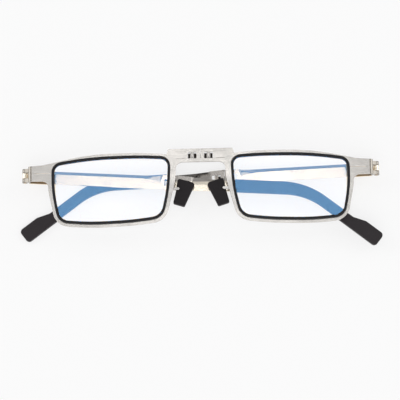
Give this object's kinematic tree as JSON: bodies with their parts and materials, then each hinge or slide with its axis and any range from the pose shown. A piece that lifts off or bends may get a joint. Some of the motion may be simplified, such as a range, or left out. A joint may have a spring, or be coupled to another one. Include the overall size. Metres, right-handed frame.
{
  "type": "folding reading glasses",
  "caption": "Slim folding reading glasses: flat metal fronts, oblong lenses in black rings, clip hinges at the bridge and in the temples, nose pads and black temple sleeves.",
  "frame": {"origin": "centre of the base of the bounding box, on the table, with the glasses lying on their back and the temples closed", "axes": "+X across the glasses from the left lens to the right lens as seen from the front, +Y to the top of the glasses, +Z out of the lens fronts"},
  "size_m": [0.1406, 0.0392, 0.0108],
  "materials": {
    "sheet_metal": "satin, light champagne silver",
    "lens_ring": "satin black",
    "lens": "clear with a faint blue reflection",
    "nose_pad": "matte black silicone",
    "sleeve": "matte black",
    "pin": "polished"
  },
  "bodies": {
    "front": {"left_front": "sheet_metal", "right_front": "sheet_metal", "left_ring": "lens_ring", "right_ring": "lens_ring", "left_lens": "lens", "right_lens": "lens", "bridge_clip": "sheet_metal", "left_pad_arm": "sheet_metal", "right_pad_arm": "sheet_metal", "left_nose_pad": "nose_pad", "right_nose_pad": "nose_pad", "left_hinge_pin": "pin", "right_hinge_pin": "pin"},
    "left_temple": {"left_temple_front": "sheet_metal", "left_temple_clip": "sheet_metal", "left_temple_rear": "sheet_metal", "left_sleeve": "sleeve"},
    "right_temple_front_half": {"right_temple_front": "sheet_metal"},
    "right_temple_rear_half": {"right_temple_clip": "sheet_metal", "right_temple_rear": "sheet_metal", "right_sleeve": "sleeve"}
  },
  "joints": [
    {"name": "left_temple_hinge", "type": "hinge", "parent": "front", "child": "left_temple", "pos_m": [-0.0682, 0.01088, 0.00648], "axis": [0, 1, 0], "range_deg": [0, 90]},
    {"name": "right_temple_hinge", "type": "hinge", "parent": "front", "child": "right_temple_front_half", "pos_m": [0.0691, 0.01088, 0.00648], "axis": [0, -1, 0], "range_deg": [0, 88]},
    {"name": "right_temple_fold", "type": "hinge", "parent": "right_temple_front_half", "child": "right_temple_rear_half", "pos_m": [0.01299, 0.00926, 0.00352], "axis": [0.0288, -0.9996, 0.0009], "range_deg": [0, 90]}
  ]
}
